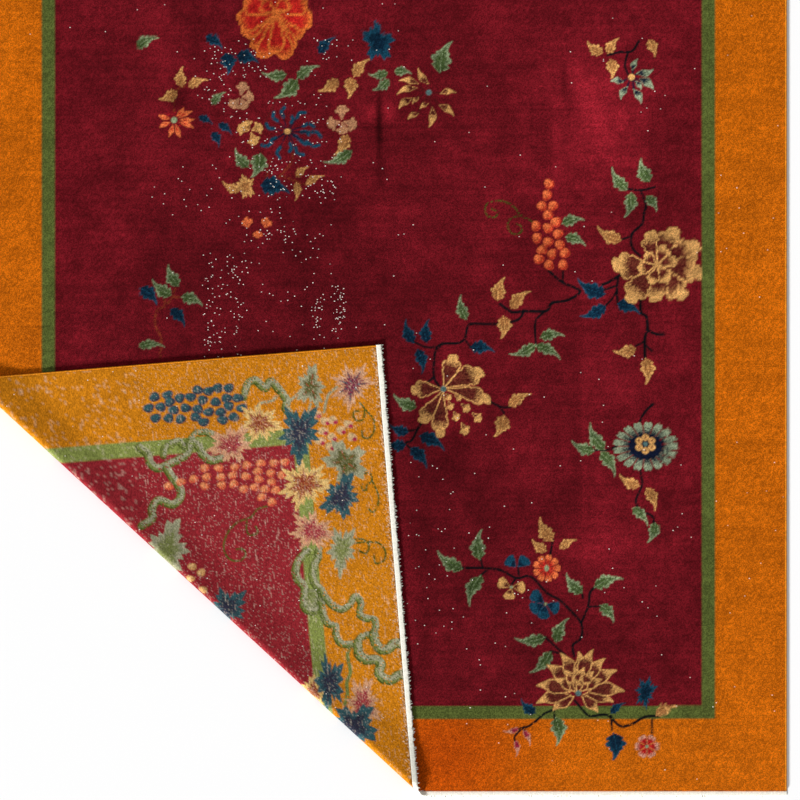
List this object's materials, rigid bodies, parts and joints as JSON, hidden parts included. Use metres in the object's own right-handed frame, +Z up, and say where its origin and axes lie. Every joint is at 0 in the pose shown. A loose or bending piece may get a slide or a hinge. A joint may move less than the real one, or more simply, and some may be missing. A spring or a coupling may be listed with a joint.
{
  "type": "chinese art deco rug",
  "caption": "Hand-knotted wool floor rug, crimson field with flower sprays, orange border and green guard, near left corner turned over on itself to show the back.",
  "frame": {"origin": "on the floor, under the middle of the box round the rug and its fringes", "axes": "+Y along the warps, away from the turned-over corner; +X across the rug, to the right in the view from above; +Z up from the floor"},
  "size_m": [2.74, 3.608, 0.034],
  "materials": {
    "pile": "dense clipped wool pile, matt, crimson field with flower sprays, green guard and orange border",
    "selvedge": "orange wool yarn wrapped round the outer warps",
    "fringe": "cream cotton warp ends"
  },
  "bodies": {
    "root": {"rug_body": "pile", "side_cord_left": "selvedge", "side_cord_right": "selvedge", "fringe_near": "fringe", "fringe_far": "fringe"}
  },
  "joints": []
}
